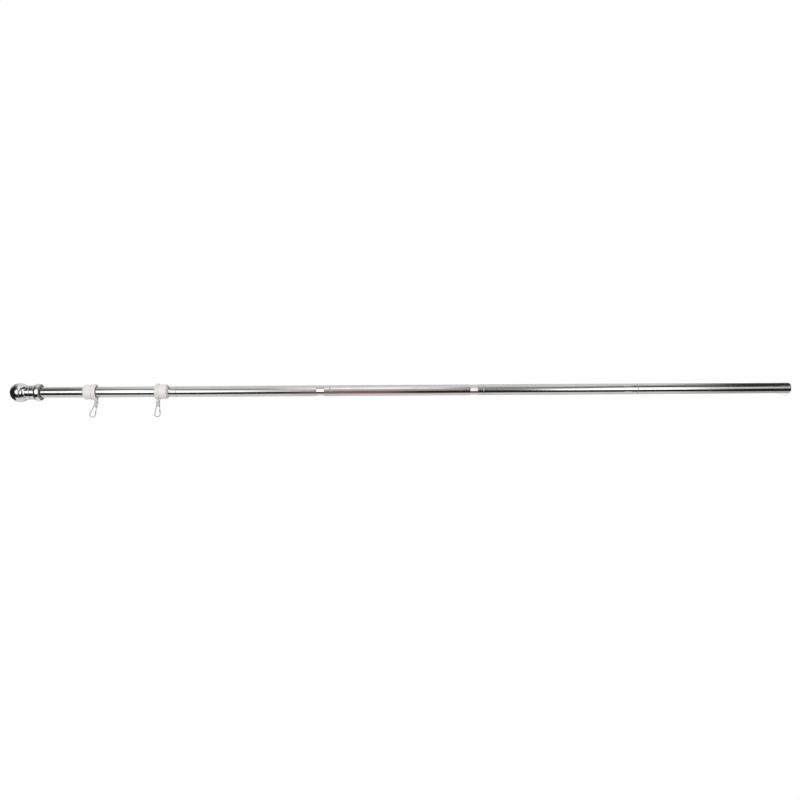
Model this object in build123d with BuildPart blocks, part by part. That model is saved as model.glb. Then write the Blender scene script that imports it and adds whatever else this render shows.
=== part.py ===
"""Sectional flagpole: five steel tubes butted on screwed plugs, a ball finial pushed over the top,
and two swivel rings on the top tube, each carrying a snap clip for a flag.

Millimetres. +Z runs up the pole, and the origin is the centre of the foot's underside.
Both lugs point towards -X, and each clip stands out from its lug.
"""

import os
from math import asin, atan2, cos, degrees, hypot, radians, sin, sqrt

from build123d import *

os.makedirs("parts", exist_ok=True)

# Tubes
tube_radius = 12.7
tube_wall = 0.8
tube_edge = 0.3
tube_length = 358.8
bottom_tube_length = 356.8
seat_clearance = 0.05

# Foot plug, flush with the end of the bottom tube
foot_plug_length = 17.0
foot_plug_floor = 3.0
foot_plug_wall = 2.0

# Screwed joints: a plug crimped into each upper tube, and a socket in the tube below it
lip_thickness = 1.2
lip_step = 0.3
plug_length = 36.0
stud_radius = 8.0
stud_length = 18.0
stud_clearance = 0.1
socket_length = 24.0
joint_bore_radius = 5.0

# Crimp: flats pressed into the tube above each joint
crimp_inset = 13.5
crimp_length = 17.5
crimp_depth = 0.55
flat_count = 4
crimp_turns = (0, 48, 49.5, 50.5)

# Finial
finial_depth = 40.3
ball_radius = 22.8
ball_wall = 1.2
neck_wall = 2.35
bead_rise = 2.2
bead_width = 8.8
bead_gap = 0.5
bead_round = 1.2
neck_top_rise = 1.0
neck_top_height = 0.5
register_height = 1.6
cup_flare = 5.9
cup_rim_step = 0.4
cup_height = 13.7
cup_wall = 1.5
cup_belly_height = 6.0
cup_recess = 6.0
cup_hub_wall = 2.0
cup_hub_inset = 2.5

# Swivel rings
mouth_to_upper_lug = 128.5
lug_to_lug = 147.7
lug_drop = 2.3
ring_length = 27.2
flange_width = 9.2
flange_rise = 1.9
flange_round = 3.7
flange_flare = 2.0
sleeve_wall = 3.3
sleeve_round = 1.2
groove_width = 0.9
groove_depth = 0.6
mouth_step = 1.2
mouth_depth = 3.6

# Collars that the rings turn on
collar_wall = 1.2
collar_lip_rise = 1.1
collar_lip_thickness = 1.8
collar_end_rise = 1.2
collar_end_length = 2.8
collar_slit = 1.0
running_clearance = 0.3

# Lugs
lug_hole_radius = 2.6
lug_hole_gap = 1.5
lug_rim = 2.3
lug_root_inset = 1.0
lug_root_thickness = 4.6
lug_tip_thickness = 3.4
gusset_width = 9.0
gusset_root_thickness = 9.0
lug_edge = 0.7

# Clips
eye_radius = 3.8
wire_radius = 1.4
clip_reach = 33.0
loop_radius = 6.3
leg_root_reach = 6.4
leg_root_spread = 3.2
nose_length = 4.0
neck_thickness = 4.6
knuckle_radius = 1.8
gate_radius = 1.1
gate_gap = 0.3
gate_side_clearance = 0.15
gate_head_radius = 1.8
gate_head_length = 3.6
gate_pin_radius = 0.7
pin_clearance = 0.05
upper_lug_turn = 0
lower_lug_turn = 15
upper_clip_tilt = 19
lower_clip_tilt = -1

# Sizes that follow
bore_radius = tube_radius - tube_wall
plug_radius = bore_radius - seat_clearance
socket_radius = tube_radius + seat_clearance
neck_radius = socket_radius + neck_wall
cup_radius = neck_radius + cup_flare
collar_radius = tube_radius + collar_wall
ring_bore_radius = collar_radius + running_clearance
mouth_radius = ring_bore_radius + mouth_step
sleeve_radius = ring_bore_radius + sleeve_wall
flange_radius = sleeve_radius + flange_rise
lug_root_radius = flange_radius - lug_root_inset
lug_hole_centre = flange_radius + lug_hole_gap + lug_hole_radius
lug_reach = lug_hole_centre + lug_hole_radius + lug_rim
hinge_radius = lug_hole_centre + eye_radius


def write(part, name):
    """Labels a finished part and writes its STEP file."""
    part.label = name
    export_step(part, f"parts/{name}.step")


def flatted_disc(radius, turn):
    """A disc whose rim carries the crimp's flats, turned by that many degrees."""
    with BuildSketch() as disc:
        Circle(radius)
        RegularPolygon(
            radius - crimp_depth,
            flat_count,
            major_radius=False,
            rotation=turn,
            mode=Mode.INTERSECT,
        )
    return disc.sketch


# ---------------------------------------------------------------- tubes and joints
def write_tube(name, foot_height, length, crimp_turn=None):
    """A tube that stands at foot_height, with a crimp near its foot if it has a turn for one."""
    with BuildPart() as tube:
        with BuildSketch(Plane.XY.offset(foot_height)):
            Circle(tube_radius)
            Circle(bore_radius, mode=Mode.SUBTRACT)
        extrude(amount=length)
        fillet(tube.edges().filter_by(GeomType.CIRCLE).group_by(SortBy.RADIUS)[-1], tube_edge)
        if crimp_turn is not None:
            crimp_foot = Plane.XY.offset(foot_height + crimp_inset)
            with BuildSketch(crimp_foot):
                Circle(tube_radius + tube_wall)
            extrude(amount=crimp_length, mode=Mode.SUBTRACT)
            with BuildSketch(crimp_foot):
                add(flatted_disc(tube_radius, crimp_turn))
                add(flatted_disc(bore_radius, crimp_turn), mode=Mode.SUBTRACT)
            extrude(amount=crimp_length)
    write(tube.part, name)


def write_joint_plug(name, seam_height, crimp_turn):
    """The plug held by the upper tube's crimp, with a lip between the tubes and a stud below it."""
    with BuildPart() as plug:
        with BuildSketch(Plane.XY.offset(seam_height - stud_length)):
            Circle(stud_radius)
        extrude(amount=stud_length)
        with BuildSketch(Plane.XY.offset(seam_height)):
            Circle(tube_radius - lip_step)
        extrude(amount=lip_thickness)
        body_foot = seam_height + lip_thickness
        with BuildSketch(Plane.XY.offset(body_foot)):
            Circle(plug_radius)
        extrude(amount=crimp_inset)
        with BuildSketch(Plane.XY.offset(body_foot + crimp_inset)):
            add(flatted_disc(plug_radius, crimp_turn))
        extrude(amount=crimp_length)
        with BuildSketch(Plane.XY.offset(body_foot + crimp_inset + crimp_length)):
            Circle(plug_radius)
        extrude(amount=plug_length - crimp_inset - crimp_length)
        with BuildSketch(Plane.XY.offset(seam_height - stud_length)):
            Circle(joint_bore_radius)
        extrude(amount=stud_length + lip_thickness + plug_length, mode=Mode.SUBTRACT)
    write(plug.part, name)


def write_joint_socket(name, seam_height):
    """The sleeve in the lower tube's head that takes the stud."""
    with BuildPart() as socket:
        with BuildSketch(Plane.XY.offset(seam_height - socket_length)):
            Circle(plug_radius)
            Circle(stud_radius + stud_clearance, mode=Mode.SUBTRACT)
        extrude(amount=socket_length)
    write(socket.part, name)


tube_names = ("tube_lower", "tube_middle", "tube_upper", "tube_top")
write_tube("tube_bottom", 0, bottom_tube_length)
seam_height = bottom_tube_length
for number, (tube_name, crimp_turn) in enumerate(zip(tube_names, crimp_turns), start=1):
    write_joint_socket(f"joint_socket_{number}", seam_height)
    write_joint_plug(f"joint_plug_{number}", seam_height, crimp_turn)
    write_tube(tube_name, seam_height + lip_thickness, tube_length, crimp_turn)
    seam_height += lip_thickness + tube_length
pole_top = seam_height

# ---------------------------------------------------------------- foot plug
with BuildPart() as foot_plug:
    with BuildSketch():
        Circle(plug_radius)
    extrude(amount=foot_plug_length)
    with BuildSketch(Plane.XY.offset(foot_plug_floor)):
        Circle(plug_radius - foot_plug_wall)
    extrude(amount=foot_plug_length, mode=Mode.SUBTRACT)
write(foot_plug.part, "foot_plug")

# ---------------------------------------------------------------- finial
mouth_height = pole_top - finial_depth
neck_foot = mouth_height + cup_height
bead_pitch = bead_width + bead_gap
neck_head = neck_foot + bead_gap + 2 * bead_pitch + neck_top_height
neck_top_radius = neck_radius + neck_top_rise
ball_cut_drop = sqrt(ball_radius**2 - neck_top_radius**2)
ball_centre_height = neck_head + ball_cut_drop
ball_bore_radius = sqrt((ball_radius - ball_wall) ** 2 - ball_cut_drop**2)

with BuildPart() as finial_cup:
    with BuildSketch(Plane.XZ):
        with BuildLine():
            hub_radius = socket_radius + cup_hub_wall
            hub_foot = mouth_height + cup_hub_inset
            recess_head = mouth_height + cup_recess
            cup_rim_radius = cup_radius - cup_rim_step
            inner_rim_radius = cup_rim_radius - cup_wall
            Polyline(
                (neck_radius, neck_foot),
                (socket_radius, neck_foot),
                (socket_radius, hub_foot),
                (hub_radius, hub_foot),
                (hub_radius, recess_head),
                (inner_rim_radius - cup_wall, recess_head),
                (inner_rim_radius, recess_head - cup_wall),
                (inner_rim_radius, mouth_height),
                (cup_rim_radius, mouth_height),
                (cup_radius, mouth_height + cup_belly_height),
            )
            Bezier(
                (cup_radius, mouth_height + cup_belly_height),
                (cup_radius, mouth_height + cup_height - cup_wall),
                (neck_radius + cup_wall, neck_foot - cup_wall),
                (neck_radius, neck_foot),
            )
        make_face()
    revolve()
    rim_edges = finial_cup.edges().group_by(Axis.Z)[0]
    fillet(rim_edges, cup_wall / 3)
write(finial_cup.part, "finial_cup")

with BuildPart() as finial_neck:
    with BuildSketch(Plane.XZ):
        with BuildLine():
            neck_cove = neck_head - neck_top_height
            Polyline(
                (neck_radius, neck_foot),
                (neck_radius, neck_cove),
                (neck_top_radius, neck_head),
                (ball_bore_radius - seat_clearance, neck_head),
                (ball_bore_radius - seat_clearance, neck_head + register_height),
                (socket_radius, neck_head + register_height),
                (socket_radius, neck_foot),
                (neck_radius, neck_foot),
            )
        make_face()
        for number in range(2):
            with Locations((neck_radius, neck_foot + bead_gap + number * bead_pitch)):
                Rectangle(bead_rise, bead_width, align=(Align.MIN, Align.MIN))
    revolve()
    bead_edges = finial_neck.edges().filter_by(GeomType.CIRCLE).group_by(lambda edge: edge.radius)[-1]
    fillet(bead_edges, bead_round)
write(finial_neck.part, "finial_neck")

with BuildPart() as finial_ball:
    with Locations((0, 0, ball_centre_height)):
        Sphere(ball_radius)
        Sphere(ball_radius - ball_wall, mode=Mode.SUBTRACT)
    split(bisect_by=Plane.XY.offset(neck_head), keep=Keep.TOP)
write(finial_ball.part, "finial_ball")


# ---------------------------------------------------------------- swivel rings and collars
# Each is built round its own lug: x runs out along the lug, and z from the flange to the sleeve.
def is_rim_edge(edge):
    """Whether the edge runs round a lug's outline, outside its root."""
    middle = edge @ 0.5
    return hypot(middle.X, middle.Y) > lug_root_radius + lug_edge and abs((edge % 0.5).Z) < 0.5


with BuildPart() as gusset:
    with BuildSketch(Plane.XZ):
        Polygon(
            (sleeve_radius, gusset_root_thickness / 2),
            (lug_hole_centre, lug_tip_thickness / 2),
            (lug_hole_centre, -lug_tip_thickness / 2),
            (sleeve_radius, -gusset_root_thickness / 2),
            align=None,
        )
    extrude(amount=gusset_width / 2, both=True)
    fillet(gusset.faces().filter_by(Axis.Y).edges(), lug_edge)


def write_ring(name, shift, place):
    """The moulded ring: a rounded flange that runs out into the lug, and the sleeve beyond."""
    with BuildPart() as lug:
        with BuildSketch(Plane.XY.offset(-lug_root_thickness / 2)):
            Circle(lug_root_radius)
            with Locations((lug_hole_centre, 0)):
                Circle(lug_hole_radius + lug_rim)
            make_hull()
        extrude(amount=lug_root_thickness)
        with BuildSketch(Plane.XZ):
            Polygon(
                (lug_reach, lug_tip_thickness / 2),
                (lug_reach, -lug_tip_thickness / 2),
                (0, -lug_root_thickness / 2),
                (0, lug_root_thickness / 2),
                align=None,
            )
        extrude(amount=flange_radius, both=True, mode=Mode.INTERSECT)
        fillet(lug.edges().filter_by(is_rim_edge), lug_edge)
        add(gusset.part)
        with BuildSketch(Plane.XY.offset(-flange_width)):
            Circle(mouth_radius)
        extrude(amount=2 * flange_width, mode=Mode.SUBTRACT)

    with BuildPart() as ring:
        with BuildSketch(Plane.XZ):
            with BuildLine():
                foot = shift - flange_width / 2
                head = foot + ring_length
                step = foot + flange_width
                Line((mouth_radius, foot), (flange_radius - flange_round, foot))
                JernArc((flange_radius - flange_round, foot), (1, 0), flange_round, 90)
                Polyline(
                    (flange_radius, foot + flange_round),
                    (flange_radius, step - flange_flare),
                    (sleeve_radius, step - groove_depth),
                    (sleeve_radius - groove_depth, step),
                    (sleeve_radius - groove_depth, step + groove_width),
                    (sleeve_radius, step + groove_width),
                    (sleeve_radius, head - sleeve_round),
                )
                JernArc((sleeve_radius, head - sleeve_round), (0, 1), sleeve_round, 90)
                Polyline(
                    (sleeve_radius - sleeve_round, head),
                    (ring_bore_radius, head),
                    (ring_bore_radius, foot + mouth_depth),
                    (mouth_radius, foot + mouth_depth),
                    (mouth_radius, foot),
                )
            make_face()
        revolve(axis=Axis.Z)
        add(lug.part)
        with BuildSketch(Plane.XY.offset(-flange_width)):
            with Locations((lug_hole_centre, 0)):
                Circle(lug_hole_radius)
        extrude(amount=2 * flange_width, mode=Mode.SUBTRACT)
    write(ring.part.moved(place), name)


def write_collar(name, shift, place):
    """The split collar that grips the tube and keeps its ring in place between two lips."""
    with BuildPart() as collar:
        with BuildSketch(Plane.XZ):
            with BuildLine():
                ring_foot = shift - flange_width / 2
                lip_head = ring_foot + mouth_depth - running_clearance
                lip_foot = lip_head - collar_lip_thickness
                end_foot = ring_foot + ring_length + running_clearance
                end_head = end_foot + collar_end_length
                Polyline(
                    (socket_radius, lip_foot),
                    (collar_radius + collar_lip_rise, lip_foot),
                    (collar_radius + collar_lip_rise, lip_head),
                    (collar_radius, lip_head),
                    (collar_radius, end_foot),
                    (collar_radius + collar_end_rise, end_foot),
                    (collar_radius + collar_end_rise, end_head - collar_end_rise),
                    (collar_radius, end_head),
                    (socket_radius, end_head),
                    close=True,
                )
            make_face()
        revolve(axis=Axis.Z)
        with BuildSketch(Plane.XY.offset(-ring_length)):
            with Locations((-tube_radius, 0)):
                Rectangle(tube_radius, collar_slit)
        extrude(amount=3 * ring_length, mode=Mode.SUBTRACT)
    write(collar.part.moved(place), name)


# ---------------------------------------------------------------- clip, its gate and the gate's pin
# Built round the middle of the clip's eye: x runs out along the clip, and y towards its fixed leg.
loop_centre = clip_reach - loop_radius
root_to_centre = loop_centre - leg_root_reach
leg_slope = asin(loop_radius / hypot(root_to_centre, leg_root_spread)) - atan2(
    leg_root_spread, root_to_centre
)
leg_run, leg_rise = cos(leg_slope), sin(leg_slope)
tangent_reach = loop_centre - loop_radius * leg_rise
tangent_spread = loop_radius * leg_run
nose_reach = tangent_reach - nose_length * leg_run
nose_spread = tangent_spread - nose_length * leg_rise
pivot = (leg_root_reach, -leg_root_spread)
slot_thickness = 2 * (gate_radius + gate_side_clearance)
slot_radius = knuckle_radius + gate_gap

with BuildPart() as clip:
    Torus(eye_radius, wire_radius)
    with BuildSketch():
        with Locations((eye_radius + wire_radius / 2, 0)):
            Circle(wire_radius / 2)
        with Locations((leg_root_reach, leg_root_spread)):
            Circle(wire_radius + gate_gap)
        with Locations(pivot):
            Circle(slot_radius)
        make_hull()
    extrude(amount=neck_thickness / 2, both=True)
    with BuildLine() as wire:
        Line((leg_root_reach, leg_root_spread), (tangent_reach, tangent_spread))
        CenterArc(
            (loop_centre, 0), loop_radius, 90 + degrees(leg_slope), -180 - 2 * degrees(leg_slope)
        )
        Line((tangent_reach, -tangent_spread), (nose_reach, -nose_spread))
    with BuildSketch(Plane(origin=wire.wire() @ 0, z_dir=wire.wire() % 0)):
        Circle(wire_radius)
    sweep(path=wire.wire())
    with BuildSketch():
        with Locations(pivot):
            Circle(slot_radius)
            Rectangle(3 * slot_radius, 3 * slot_radius, align=(Align.MIN, Align.MAX))
            Rectangle(2 * slot_radius, slot_radius, align=(Align.MIN, Align.MIN))
    extrude(amount=slot_thickness / 2, both=True, mode=Mode.SUBTRACT)
    with BuildSketch():
        with Locations(pivot):
            Circle(gate_pin_radius)
    extrude(amount=neck_thickness, both=True, mode=Mode.SUBTRACT)

with BuildPart() as gate:
    with BuildSketch():
        with Locations(pivot):
            Circle(knuckle_radius)
    extrude(amount=gate_radius, both=True)
    gate_foot = Plane(origin=(*pivot, 0), z_dir=(leg_run, -leg_rise, 0))
    gate_length = hypot(nose_reach - pivot[0], nose_spread + pivot[1]) - gate_gap
    with BuildSketch(gate_foot):
        Circle(gate_radius)
    extrude(amount=gate_length)
    with BuildSketch(gate_foot.offset(gate_length - gate_head_length)):
        Circle(gate_head_radius)
    extrude(amount=gate_head_length)
    with BuildSketch():
        with Locations(pivot):
            Circle(gate_pin_radius + pin_clearance)
    extrude(amount=neck_thickness, both=True, mode=Mode.SUBTRACT)

with BuildPart() as gate_pin:
    with BuildSketch():
        with Locations(pivot):
            Circle(gate_pin_radius)
    extrude(amount=neck_thickness / 2, both=True)

# ---------------------------------------------------------------- places on the pole
upper_lug_height = mouth_height - mouth_to_upper_lug
lower_lug_height = upper_lug_height - lug_to_lug
for suffix, lug_height, turn, up, tilt in (
    ("upper", upper_lug_height, upper_lug_turn, 1, upper_clip_tilt),
    ("lower", lower_lug_height, lower_lug_turn, -1, lower_clip_tilt),
):
    outward = Vector(-cos(radians(turn)), -sin(radians(turn)), 0)
    upward = Vector(0, 0, 1)
    lug_plane = Plane(origin=upward * lug_height, x_dir=outward, z_dir=upward * up)
    write_ring(f"ring_{suffix}", up * lug_drop, lug_plane.location)
    write_collar(f"collar_{suffix}", up * lug_drop, lug_plane.location)
    hook = Plane(
        origin=upward * lug_height + outward * hinge_radius,
        x_dir=outward * cos(radians(tilt)) + upward * sin(radians(tilt)),
        z_dir=outward.cross(upward),
    ).location
    write(clip.part.moved(hook), f"clip_{suffix}")
    write(gate.part.moved(hook), f"clip_gate_{suffix}")
    write(gate_pin.part.moved(hook), f"gate_pin_{suffix}")
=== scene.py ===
"""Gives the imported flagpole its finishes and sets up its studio.

The tubes are polished steel, the ball finial is plated, and milky swivel rings carry clear clips.
Lengths are in metres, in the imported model's own frame: +Z runs up the pole, and both lugs point
towards -X.
"""

import math

import bmesh
import bpy
from mathutils import Matrix, Vector


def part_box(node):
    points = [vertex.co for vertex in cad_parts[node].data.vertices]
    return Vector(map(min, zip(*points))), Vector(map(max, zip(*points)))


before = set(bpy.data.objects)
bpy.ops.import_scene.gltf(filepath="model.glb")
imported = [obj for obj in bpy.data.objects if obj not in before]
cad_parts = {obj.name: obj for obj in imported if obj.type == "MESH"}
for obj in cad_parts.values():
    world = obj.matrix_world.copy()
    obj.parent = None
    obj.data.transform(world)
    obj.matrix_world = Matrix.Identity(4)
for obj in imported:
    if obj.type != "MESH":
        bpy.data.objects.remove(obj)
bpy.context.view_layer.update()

bl_info = {
    "name": "Sectional flagpole",
    "version": (1, 0, 0),
    "blender": (4, 5, 0),
    "location": "View3D > Sidebar > Flagpole",
    "description": "Finishes the pieces of a sectional flagpole and sets up its studio",
    "category": "Object",
}

MM = 0.001

# Places that the finishes follow, read from the solids.
POLE_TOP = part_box("finial_ball")[1].z
CUP_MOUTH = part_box("finial_cup")[0].z
CUP_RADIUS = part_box("finial_cup")[1].x
FLANGE_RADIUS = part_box("ring_upper")[1].x
LOWEST_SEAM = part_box("tube_lower")[0].z
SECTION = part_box("tube_middle")[0].z - LOWEST_SEAM
JOINT_COUNT = 4

# How far from the pole's axis the smoky latch end of a gate starts, and a reach that nothing has.
LATCH_LENGTH = 3.6 * MM
GATE_HEAD = -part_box("clip_gate_upper")[0].x - LATCH_LENGTH
NO_HEAD = 1.0

# The crimp over each seam: how high its middle sits, how long it is and how steeply it goes in.
CRIMP_MIDDLE = 22.25 * MM
CRIMP_LENGTH = 17.5 * MM
CRIMP_SLOPE = 0.17

# The painted shade round each seam, and how high the steel's long waves stand.
SEAM_SHADE_REACH = 1.3 * MM
SEAM_SHADE_FADE = 1.6 * MM
WAVE_HEIGHT = 0.14 * MM

# The recess in the cup's mouth, painted dark as shade: the lip left round it, and its depth.
CUP_LIP = 2.2 * MM
RECESS_DEPTH = 6.2 * MM

# Patterns that run one way: blotches to the metre across the pole, twice, and along it.
FINE_LINES = (2600.0, 2600.0, 18.0)
DULL_PATCHES = (60.0, 60.0, 14.0)
LONG_WAVES = (9.0, 9.0, 5.0)
RUB_MARKS = (90.0, 90.0, 900.0)
LATHE_CUTS = (60.0, 60.0, 5200.0)

BLACK = (0.0, 0.0, 0.0)
WHITE = (1.0, 1.0, 1.0)


# ---------------------------------------------------------------- shader graphs
class Wire:
    """A socket's value. Arithmetic on it adds Math nodes."""

    def __init__(self, graph, socket):
        self.graph = graph
        self.socket = socket

    def maths(self, operation, *terms, clamp=False):
        """The result of a Math node that works on the given terms."""
        settings = {"operation": operation, "use_clamp": clamp}
        return self.graph.node("ShaderNodeMath", settings, dict(enumerate(terms)))

    def __add__(self, other):
        return self.maths("ADD", self, other)

    def __radd__(self, other):
        return self.maths("ADD", other, self)

    def __sub__(self, other):
        return self.maths("SUBTRACT", self, other)

    def __rsub__(self, other):
        return self.maths("SUBTRACT", other, self)

    def __mul__(self, other):
        return self.maths("MULTIPLY", self, other)

    def __rmul__(self, other):
        return self.maths("MULTIPLY", other, self)

    def __truediv__(self, other):
        return self.maths("DIVIDE", self, other)

    def __pow__(self, other):
        return self.maths("POWER", self, other)

    def __mod__(self, other):
        return self.maths("FLOORED_MODULO", self, other)

    def __abs__(self):
        return self.maths("ABSOLUTE", self)

    def above(self, edge, width):
        """0 below the edge and 1 above it, with a soft step of the given width between them."""
        return self.maths("ADD", (self - edge) / width, 0.5, clamp=True)

    def between(self, low, high, width):
        """1 between two edges and 0 outside them, with soft steps."""
        return self.above(low, width) * (1 - self.above(high, width))


class Graph:
    """A node tree that is built from nothing."""

    # A Mix node's sockets share their names, so those for colours go by number.
    MIX_FACTOR, MIX_FIRST, MIX_SECOND, MIX_RESULT = 0, 6, 7, 2

    def __init__(self, tree):
        tree.nodes.clear()
        self.tree = tree

    def node(self, kind, settings=None, inputs=None, output=0):
        """Adds a node, with its settings first and then its sockets' values or wires."""
        node = self.tree.nodes.new(kind)
        for name, value in (settings or {}).items():
            setattr(node, name, value)
        for name, value in (inputs or {}).items():
            if isinstance(value, Wire):
                self.tree.links.new(value.socket, node.inputs[name])
            else:
                node.inputs[name].default_value = value
        if not node.outputs:
            return node
        return Wire(self, node.outputs[output])

    def split(self, vector):
        """The three parts of a vector."""
        parts = self.node("ShaderNodeSeparateXYZ", inputs={"Vector": vector}).socket.node
        return [Wire(self, socket) for socket in parts.outputs]

    def from_axis(self, place):
        """How far a place is from the pole's axis, and how high up the pole."""
        across, along, height = self.split(place)
        return (across * across + along * along) ** 0.5, height

    def rays(self, kind):
        """1 on the rays of one kind and 0 on others."""
        return self.node("ShaderNodeLightPath", output=f"Is {kind} Ray")

    def noise(self, vector, scale, detail=2.0, roughness=0.5, distortion=0.0):
        """Cloudy values from 0 to 1, with that many blotches to the metre."""
        return self.node(
            "ShaderNodeTexNoise",
            {"noise_dimensions": "3D"},
            {
                "Vector": vector,
                "Scale": scale,
                "Detail": detail,
                "Roughness": roughness,
                "Distortion": distortion,
            },
        )

    def streaks(self, vector, scales, **settings):
        """Cloudy values that run one way, with a scale for each axis."""
        stretch = {"operation": "MULTIPLY"}
        stretched = self.node("ShaderNodeVectorMath", stretch, {0: vector, 1: scales})
        return self.noise(stretched, scale=1.0, **settings)

    def blend(self, factor, first, second):
        """A colour between two others, each a wire or three numbers."""
        settings = {"data_type": "RGBA", "clamp_factor": True}
        inputs = {
            self.MIX_FACTOR: factor,
            self.MIX_FIRST: opaque(first),
            self.MIX_SECOND: opaque(second),
        }
        return self.node("ShaderNodeMix", settings, inputs, output=self.MIX_RESULT)

    def bump(self, height, strength, distance):
        """A normal that is tilted by a height pattern."""
        inputs = {"Height": height, "Strength": strength, "Distance": distance}
        return self.node("ShaderNodeBump", inputs=inputs)

    def surface(self, **inputs):
        """Ends a material in a Principled shader."""
        named = {name.replace("_", " "): value for name, value in inputs.items()}
        shader = self.node("ShaderNodeBsdfPrincipled", inputs=named)
        self.node("ShaderNodeOutputMaterial", inputs={"Surface": shader})


def opaque(colour):
    """A colour's three numbers with a fourth for its cover. A wire stays as it is."""
    return colour if isinstance(colour, Wire) else (*colour, 1.0)


def new_finish(name):
    """A new material, its graph, and the place on the piece that its patterns follow."""
    material = bpy.data.materials.new(name)
    material.use_nodes = True
    graph = Graph(material.node_tree)
    place = graph.node("ShaderNodeTexCoord", output="Object")
    return material, graph, place


def give(material, *nodes):
    """Puts a material on every slot of the named CAD nodes."""
    for node in nodes:
        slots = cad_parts[node].material_slots
        for slot in slots:
            slot.material = material


# ---------------------------------------------------------------- settings
class FlagpoleMetal(bpy.types.PropertyGroup):
    """Colours and gloss of the tubes, the joints and the finial."""

    steel: bpy.props.FloatVectorProperty(
        name="Steel", description="Polished steel of the tubes", subtype="COLOR",
        default=(0.70, 0.695, 0.685), min=0, max=1,
    )
    steel_cloud: bpy.props.FloatVectorProperty(
        name="Steel, dull", description="Metal where fingers have dulled it", subtype="COLOR",
        default=(0.60, 0.59, 0.575), min=0, max=1,
    )
    steel_roughness: bpy.props.FloatProperty(
        name="Steel roughness", description="Roughness of the tubes between their fine lines",
        default=0.07, min=0, max=1, subtype="FACTOR",
    )
    # Painted shade: the dark colour blended into the steel in a band round each seam.
    seam_shade: bpy.props.FloatVectorProperty(
        name="Grime", description="What gathers round the seams", subtype="COLOR",
        default=(0.16, 0.15, 0.13), min=0, max=1,
    )
    plate: bpy.props.FloatVectorProperty(
        name="Plate", description="Bright plate of the finial", subtype="COLOR",
        default=(0.78, 0.78, 0.79), min=0, max=1,
    )
    plate_roughness: bpy.props.FloatProperty(
        name="Plate roughness", description="Roughness of the finial's plate",
        default=0.05, min=0, max=1, subtype="FACTOR",
    )
    # Painted shade: the dull dark grey put inside the cup's mouth in place of the plate.
    core: bpy.props.FloatVectorProperty(
        name="Core", description="Bare core inside the cup's mouth", subtype="COLOR",
        default=(0.34, 0.335, 0.33), min=0, max=1,
    )
    alloy: bpy.props.FloatVectorProperty(
        name="Alloy", description="Turned alloy of the joints", subtype="COLOR",
        default=(0.68, 0.68, 0.67), min=0, max=1,
    )
    alloy_cut: bpy.props.FloatVectorProperty(
        name="Alloy, cut", description="The joints along the lathe's cuts", subtype="COLOR",
        default=(0.52, 0.515, 0.51), min=0, max=1,
    )


class FlagpolePlastic(bpy.types.PropertyGroup):
    """Colours of the rings, collars, clips and foot plug."""

    milk: bpy.props.FloatVectorProperty(
        name="Milk", description="Milky plastic of the rings", subtype="COLOR",
        default=(0.71, 0.688, 0.66), min=0, max=1,
    )
    # Part tint, part painted shade: the lugs' yellower plastic, darkened as if in shade.
    milk_tinted_and_shaded: bpy.props.FloatVectorProperty(
        name="Milk, thick", description="The rings where the plastic is thick", subtype="COLOR",
        default=(0.56, 0.55, 0.45), min=0, max=1,
    )
    milk_rubbed: bpy.props.FloatVectorProperty(
        name="Milk, rubbed", description="The collars where the rings rub them", subtype="COLOR",
        default=(0.50, 0.49, 0.46), min=0, max=1,
    )
    clear: bpy.props.FloatVectorProperty(
        name="Clear", description="Tint of the clear clips", subtype="COLOR",
        default=(0.42, 0.42, 0.43), min=0, max=1,
    )
    haze: bpy.props.FloatVectorProperty(
        name="Haze", description="Faint haze in the clear clips", subtype="COLOR",
        default=(0.60, 0.60, 0.58), min=0, max=1,
    )
    smoke: bpy.props.FloatVectorProperty(
        name="Smoke", description="Latch end of the clips' gates", subtype="COLOR",
        default=(0.16, 0.16, 0.165), min=0, max=1,
    )
    black: bpy.props.FloatVectorProperty(
        name="Black", description="Black plastic of the foot plug", subtype="COLOR",
        default=(0.012, 0.012, 0.013), min=0, max=1,
    )
    scuff: bpy.props.FloatVectorProperty(
        name="Scuff", description="The foot plug where it is scuffed", subtype="COLOR",
        default=(0.06, 0.06, 0.06), min=0, max=1,
    )


class FlagpoleStudio(bpy.types.PropertyGroup):
    """Camera, floor and light."""

    camera_distance: bpy.props.FloatProperty(
        name="Camera distance", description="From the camera to the pole's axis",
        unit="LENGTH", default=1.53, min=0.5, max=10,
    )
    camera_height: bpy.props.FloatProperty(
        name="Camera height", description="Height up the pole that the camera faces",
        unit="LENGTH", default=1.0306, min=0, max=2,
    )
    camera_drop: bpy.props.FloatProperty(
        name="Camera drop", description="How far the camera sits towards the clips",
        unit="LENGTH", default=0.0221, min=-1, max=1,
    )
    camera_roll: bpy.props.FloatProperty(
        name="Camera roll", description="Turn of the view about its centre",
        subtype="ANGLE", default=math.radians(0.345), min=-1, max=1,
    )
    camera_shift: bpy.props.FloatProperty(
        name="Camera shift", description="Shift of the view along the pole, in its own widths",
        default=0.0625, min=-1, max=1,
    )
    lens: bpy.props.FloatProperty(
        name="Lens", description="Focal length in millimetres for a 36 mm film",
        default=29.25, min=10, max=200,
    )
    floor_radius: bpy.props.FloatProperty(
        name="Floor radius", description="Radius of the pale floor",
        unit="LENGTH", default=0.6, min=0.1, max=10,
    )
    sky: bpy.props.FloatProperty(
        name="Sky", description="Strength of the soft light from all round",
        default=0.72, min=0, max=5,
    )
    key_power: bpy.props.FloatProperty(
        name="Key power", description="Power of the main softbox in watts",
        default=34, min=0, max=1000,
    )
    fill_power: bpy.props.FloatProperty(
        name="Fill power", description="Power of the second softbox in watts",
        default=12, min=0, max=1000,
    )


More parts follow.
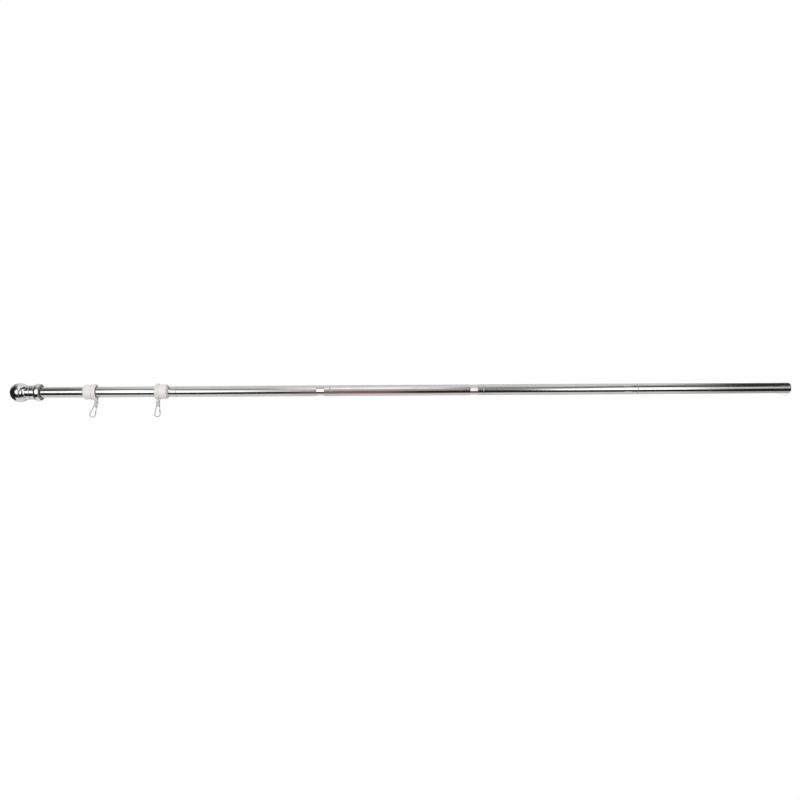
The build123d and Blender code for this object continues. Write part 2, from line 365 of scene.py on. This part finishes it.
# ---------------------------------------------------------------- finishes
def steel_finish(metal):
    """Polished steel with fine lines, dull patches, pressed crimps and a little painted shade
    round the seams.
    """
    material, graph, place = new_finish("polished_steel")
    lines = graph.streaks(place, FINE_LINES, detail=3.0, roughness=0.6)
    patches = graph.streaks(place, DULL_PATCHES, detail=4.0, roughness=0.6, distortion=0.4)
    waves = graph.streaks(place, LONG_WAVES, detail=1.0, roughness=0.4)
    height = graph.split(place)[2]

    from_seam = abs((height - LOWEST_SEAM + SECTION / 2) % SECTION - SECTION / 2)
    # Painted shade: a band round each seam is darkened a little, and made rougher.
    seam_shade = 1 - from_seam.above(SEAM_SHADE_REACH, SEAM_SHADE_FADE)
    # The slope starts halfway up the second tube, as the crimp over the lowest seam lies flat.
    along_crimp = CRIMP_MIDDLE - (height - LOWEST_SEAM) % SECTION
    in_crimp = along_crimp.between(-CRIMP_LENGTH / 2, CRIMP_LENGTH / 2, width=0.1 * MM)
    pressed = along_crimp * in_crimp * height.above(LOWEST_SEAM + SECTION / 2, width=MM)

    dullness = patches.above(0.62, width=0.3)
    colour = graph.blend(dullness, metal.steel, metal.steel_cloud)
    relief = WAVE_HEIGHT * waves + CRIMP_SLOPE * pressed
    graph.surface(
        Base_Color=graph.blend(seam_shade * 0.08, colour, metal.seam_shade),
        Metallic=1.0,
        Roughness=metal.steel_roughness + 0.05 * lines + 0.06 * dullness + 0.15 * seam_shade,
        Normal=graph.bump(relief, strength=1.0, distance=1.0),
    )
    return material


def plate_finish(metal):
    """Bright plate with a slight orange peel, and painted shade, a dull dark grey, inside the
    cup's mouth.
    """
    material, graph, place = new_finish("bright_plate")
    peel = graph.noise(place, scale=260.0)
    patches = graph.noise(place, scale=70.0, detail=3.0, roughness=0.6)
    dullness = patches.above(0.60, width=0.25)
    out, height = graph.from_axis(place)
    # Painted shade inside the cup's mouth: within the lip and up to the recess's depth, the plate
    # turns dull dark grey and stops being metal.
    inside_lip = 1 - out.above(CUP_RADIUS - CUP_LIP, width=0.4 * MM)
    recess = inside_lip * (1 - height.above(CUP_MOUTH + RECESS_DEPTH, width=0.2 * MM))
    colour = graph.blend(dullness * 0.5, metal.plate, metal.steel_cloud)
    graph.surface(
        Base_Color=graph.blend(recess, colour, metal.core),
        Metallic=1 - recess,
        Roughness=metal.plate_roughness + 0.05 * dullness + 0.35 * recess,
        Normal=graph.bump(peel, strength=0.06, distance=0.1 * MM),
    )
    return material


def turned_finish(metal):
    """Turned alloy with fine rings cut round it."""
    material, graph, place = new_finish("turned_alloy")
    cuts = graph.streaks(place, LATHE_CUTS)
    graph.surface(
        Base_Color=graph.blend(cuts, metal.alloy, metal.alloy_cut),
        Metallic=1.0,
        Roughness=0.28 + 0.15 * cuts,
        Normal=graph.bump(cuts, strength=0.3, distance=0.04 * MM),
    )
    return material


def milk_finish(plastic):
    """Milky moulded plastic that turns yellower where it is thick, on the lugs, with painted shade
    darkening it there.
    """
    material, graph, place = new_finish("milky_plastic")
    clouds = graph.noise(place, scale=120.0, detail=3.0, roughness=0.55)
    grain = graph.noise(place, scale=2200.0, roughness=0.6)
    out, _height = graph.from_axis(place)
    # Beyond the flange, on the lugs: the thicker plastic's yellower tint, and painted shade
    # darkening it.
    thick_and_shaded = out.above(FLANGE_RADIUS + 0.8 * MM, width=2.5 * MM)
    tint_and_shade = thick_and_shaded * 0.8 + clouds.above(0.62, width=0.3) * 0.18
    graph.surface(
        Base_Color=graph.blend(tint_and_shade, plastic.milk, plastic.milk_tinted_and_shaded),
        Roughness=0.32 + 0.06 * grain + 0.1 * clouds,
        Normal=graph.bump(grain, strength=0.1, distance=0.02 * MM),
        IOR=1.5,
    )
    return material


def collar_finish(plastic):
    """The same plastic, greyer and thinner, as it is rubbed by the ring that turns on it."""
    material, graph, place = new_finish("collar_plastic")
    rub = graph.streaks(place, RUB_MARKS)
    grain = graph.noise(place, scale=1800.0, roughness=0.6)
    graph.surface(
        Base_Color=graph.blend(rub.above(0.5, width=0.4) * 0.5, plastic.milk, plastic.milk_rubbed),
        Roughness=0.3 + 0.15 * rub,
        Alpha=0.6 + 0.2 * rub,
        Normal=graph.bump(grain, strength=0.1, distance=0.02 * MM),
    )
    return material


def clear_finish(plastic, name, head_reach):
    """Clear moulded plastic, faintly hazy, and smoky beyond head_reach from the pole's axis."""
    material, graph, place = new_finish(name)
    flow = graph.noise(place, scale=300.0, detail=3.0, roughness=0.6, distortion=1.5)
    haze = graph.noise(place, scale=90.0)
    out, _height = graph.from_axis(place)
    colour = graph.blend(haze.above(0.55, width=0.3) * 0.35, plastic.clear, plastic.haze)
    head = out.above(head_reach, width=1.5 * MM) * 0.8
    graph.surface(
        Base_Color=graph.blend(head, colour, plastic.smoke),
        Roughness=0.25 + 0.15 * haze,
        Alpha=0.5 + 0.2 * haze,
        IOR=1.49,
        Normal=graph.bump(flow, strength=0.15, distance=0.08 * MM),
    )
    return material


def black_finish(plastic):
    """Black moulded plastic with a fine grain and a few scuffs."""
    material, graph, place = new_finish("black_plastic")
    grain = graph.noise(place, scale=2600.0, roughness=0.6)
    scuffs = graph.noise(place, scale=160.0, detail=4.0, roughness=0.6)
    graph.surface(
        Base_Color=graph.blend(scuffs.above(0.6, width=0.2) * 0.3, plastic.black, plastic.scuff),
        Roughness=0.38 + 0.2 * scuffs,
        Normal=graph.bump(grain, strength=0.3, distance=0.05 * MM),
    )
    return material


# ---------------------------------------------------------------- operators for the pieces
class DressTubes(bpy.types.Operator):
    """Polishes the tubes and finishes the joints and the foot plug"""

    bl_idname = "flagpole.dress_tubes"
    bl_label = "Finish the tubes"

    def execute(self, context):
        metal = context.scene.flagpole_metal
        steel = steel_finish(metal)
        give(steel, "tube_bottom", "tube_lower", "tube_middle", "tube_upper", "tube_top")
        turned = turned_finish(metal)
        for number in range(1, JOINT_COUNT + 1):
            give(turned, f"joint_plug_{number}", f"joint_socket_{number}")
        give(black_finish(context.scene.flagpole_plastic), "foot_plug")
        return {"FINISHED"}


class DressFinial(bpy.types.Operator):
    """Plates the ball, its neck and its cup"""

    bl_idname = "flagpole.dress_finial"
    bl_label = "Finish the finial"

    def execute(self, context):
        plate = plate_finish(context.scene.flagpole_metal)
        give(plate, "finial_ball", "finial_neck", "finial_cup")
        return {"FINISHED"}


class DressRings(bpy.types.Operator):
    """Gives the rings and the collars inside them their milky plastic"""

    bl_idname = "flagpole.dress_rings"
    bl_label = "Finish the rings"

    def execute(self, context):
        plastic = context.scene.flagpole_plastic
        give(milk_finish(plastic), "ring_upper", "ring_lower")
        give(collar_finish(plastic), "collar_upper", "collar_lower")
        return {"FINISHED"}


class DressClips(bpy.types.Operator):
    """Gives the clips, their gates and the gates' pins their clear plastic"""

    bl_idname = "flagpole.dress_clips"
    bl_label = "Finish the clips"

    def execute(self, context):
        plastic = context.scene.flagpole_plastic
        clips = clear_finish(plastic, "clear_plastic", NO_HEAD)
        give(clips, "clip_upper", "clip_lower")
        give(clips, "gate_pin_upper", "gate_pin_lower")
        gates = clear_finish(plastic, "gate_plastic", GATE_HEAD)
        give(gates, "clip_gate_upper", "clip_gate_lower")
        return {"FINISHED"}


# ---------------------------------------------------------------- stage
# The studio that metal sees, one panel to a row: from and to in degrees round the pole from the
# camera's side, from and to in degrees up from level, how soft its edges are in degrees, and its
# brightness. A later panel hides earlier ones.
PANELS = (
    (152, 170, -95, 10, 4, 0.03),
    (172, 200, -95, 10, 3, 2.0),
    (-200, -166, -95, 10, 3, 2.0),
    (-156, -138, -95, 10, 4, 0.2),
    (-160, -80, -46, -27, 5, 0.55),
    (-63, -19, -95, 95, 6, 0.015),
    (-19, 34, 16, 22, 4, 2.0),
    (36, 66, 15, 22, 5, 0.3),
    (-21, 18, 11, 16, 4, 2.0),
    (-15, 18, 7, 11, 4, 1.7),
    (-11, 21, 4, 8, 3, 0.85),
    (20, 58, 4, 16, 5, 0.36),
    (-10, 21, 21, 36, 4, 1.8),
    (-63, -10, 21, 36, 4, 0.02),
    (24, 84, 21, 42, 5, 0.12),
    (-63, -6, -5, 4, 3, 0.28),
    (-63, -8, -17, -5, 3, 0.03),
    (-5, 24, -10, 4, 3, 0.5),
    (28, 72, -8, 5, 5, 1.25),
    (-7, 62, -16, -9, 3, 0.34),
    (-20, 14, -23, -17.3, 3, 2.0),
    (15, 58, -23, -15, 5, 0.26),
    (-19, 26, -29, -22, 4, 2.0),
    (29, 74, -29, -22, 5, 0.12),
    (-75, -7, -46, -29, 4, 0.02),
    (-7, 24, -34, -28, 4, 0.75),
    (26, 130, -46, -28, 5, 0.03),
    (-35, 26, -46, -36, 3, 0.03),
    (30, 52, -47, -36, 3, 2.0),
    (-35, 35, -84, -49, 5, 1.5),
    (-200, 200, 36, 95, 5, 0.02),
    (95, 165, 34, 60, 6, 0.3),
    (85, 112, 21, 33, 5, 0.4),
    (-200, -130, 20, 46, 5, 0.8),
)
BARE_WALL = 0.80

# A patch of the studio that is warm in colour: its edges, as in a panel, and its colour.
WARM_PATCH = (-84, -7, -11, 3, 6)
WARM_COLOUR = (1.0, 0.62, 0.61)

SOFTBOX_SIZE = 1.6
KEY_PLACE = (1.6, -2.2, 1.6)
FILL_PLACE = (-1.2, -1.8, 0.4)

FLOOR_PALE = (0.96, 0.96, 0.96)
FLOOR_MOTTLE = (0.93, 0.93, 0.93)
FLOOR_LIFT = 0.3
FLOOR_SIDES = 96
FLOOR_GAP = 0.5 * MM

FILM_WIDTH = 36


def light_world(strength):
    """A white world that metal sees as a studio: softboxes and dark flags round the camera."""
    world = bpy.data.worlds.new("studio")
    bpy.context.scene.world = world
    world.cycles.sampling_method = "NONE"
    world.use_nodes = True
    graph = Graph(world.node_tree)
    across, along, up = graph.split(graph.node("ShaderNodeTexCoord", output="Generated"))
    turn = across.maths("ARCTAN2", across, 0 - along) * math.degrees(1)
    lift = up.maths("ARCSINE", up) * math.degrees(1)

    def cover(low_turn, high_turn, low_lift, high_lift, soft):
        """1 in the part of the studio inside those edges and 0 outside it."""
        return turn.between(low_turn, high_turn, soft) * lift.between(low_lift, high_lift, soft)

    seen = BARE_WALL
    for *edges, brightness in PANELS:
        seen = seen + cover(*edges) * (brightness - seen)
    glossy = graph.rays("Glossy")
    plain = 1 + graph.rays("Diffuse") * (strength - 1)
    inputs = {
        "Color": graph.blend(glossy * cover(*WARM_PATCH), WHITE, WARM_COLOUR),
        "Strength": plain + glossy * (seen - plain),
    }
    background = graph.node("ShaderNodeBackground", inputs=inputs)
    graph.node("ShaderNodeOutputWorld", inputs={"Surface": background})


def add_softbox(name, place, power):
    """A square softbox that faces the middle of the pole and shows in no reflection."""
    lamp = bpy.data.lights.new(name, "AREA")
    lamp.shape = "SQUARE"
    lamp.size = SOFTBOX_SIZE
    lamp.energy = power
    softbox = bpy.data.objects.new(name, lamp)
    softbox.location = place
    aim = Vector((0, 0, POLE_TOP / 2)) - Vector(place)
    softbox.rotation_euler = aim.to_track_quat("-Z", "Y").to_euler()
    softbox.visible_glossy = False
    bpy.context.scene.collection.objects.link(softbox)


def add_floor(radius):
    """A pale round floor that the pole stands on, a little paler to the camera."""
    mesh = bpy.data.meshes.new("floor")
    shape = bmesh.new()
    bmesh.ops.create_circle(shape, cap_ends=True, segments=FLOOR_SIDES, radius=radius)
    bmesh.ops.translate(shape, verts=shape.verts, vec=(0, 0, -FLOOR_GAP))
    shape.to_mesh(mesh)
    shape.free()
    floor = bpy.data.objects.new("floor", mesh)
    bpy.context.scene.collection.objects.link(floor)

    material, graph, place = new_finish("pale_floor")
    mottle = graph.noise(place, scale=40.0, detail=3.0)
    graph.surface(
        Base_Color=graph.blend(mottle, FLOOR_PALE, FLOOR_MOTTLE),
        Roughness=0.9,
        Emission_Color=graph.blend(graph.rays("Camera"), BLACK, WHITE),
        Emission_Strength=FLOOR_LIFT,
    )
    mesh.materials.append(material)
    floor.visible_glossy = False


def add_camera(studio):
    """A camera that looks square at the pole and lays it across the view, top to the left."""
    camera = bpy.data.cameras.new("camera")
    camera.lens = studio.lens
    camera.sensor_width = FILM_WIDTH
    camera.shift_x = studio.camera_shift
    camera_object = bpy.data.objects.new("camera", camera)
    roll = studio.camera_roll
    down_pole, sideways = Vector((0, 0, -1)), Vector((1, 0, 0))
    right = math.cos(roll) * down_pole - math.sin(roll) * sideways
    above = math.sin(roll) * down_pole + math.cos(roll) * sideways
    turn = Matrix((right, above, right.cross(above))).transposed()
    place = Vector((-studio.camera_drop, -studio.camera_distance, studio.camera_height))
    camera_object.matrix_world = Matrix.Translation(place) @ turn.to_4x4()
    bpy.context.scene.collection.objects.link(camera_object)
    bpy.context.scene.camera = camera_object


class SetStage(bpy.types.Operator):
    """Sets the floor, the light and the camera"""

    bl_idname = "flagpole.set_stage"
    bl_label = "Set the stage"

    def execute(self, context):
        studio = context.scene.flagpole_studio
        add_floor(studio.floor_radius)
        light_world(studio.sky)
        add_softbox("key", KEY_PLACE, studio.key_power)
        add_softbox("fill", FILL_PLACE, studio.fill_power)
        add_camera(studio)
        context.scene.view_settings.view_transform = "Standard"
        return {"FINISHED"}


# ---------------------------------------------------------------- add-on
SETTINGS = {
    "flagpole_metal": FlagpoleMetal,
    "flagpole_plastic": FlagpolePlastic,
    "flagpole_studio": FlagpoleStudio,
}
OPERATORS = (DressTubes, DressFinial, DressRings, DressClips, SetStage)


class FlagpolePanel(bpy.types.Panel):
    """Lists the flagpole's settings and operators"""

    bl_idname = "VIEW3D_PT_flagpole"
    bl_label = "Flagpole"
    bl_space_type = "VIEW_3D"
    bl_region_type = "UI"
    bl_category = "Flagpole"

    def draw(self, context):
        for name in SETTINGS:
            group = getattr(context.scene, name)
            box = self.layout.box()
            for setting in group.__annotations__:
                box.prop(group, setting)
        for operator in OPERATORS:
            self.layout.operator(operator.bl_idname)


CLASSES = (*SETTINGS.values(), *OPERATORS, FlagpolePanel)


def register():
    """Adds the classes and the scene's settings."""
    for item in CLASSES:
        bpy.utils.register_class(item)
    for name, group in SETTINGS.items():
        setattr(bpy.types.Scene, name, bpy.props.PointerProperty(type=group))


def unregister():
    """Takes the settings and the classes away again."""
    for name in SETTINGS:
        delattr(bpy.types.Scene, name)
    for item in reversed(CLASSES):
        bpy.utils.unregister_class(item)


def main():
    """Registers the add-on and runs its operators in order."""
    register()
    bpy.ops.flagpole.dress_tubes()
    bpy.ops.flagpole.dress_finial()
    bpy.ops.flagpole.dress_rings()
    bpy.ops.flagpole.dress_clips()
    bpy.ops.flagpole.set_stage()


if __name__ == "__main__":
    main()
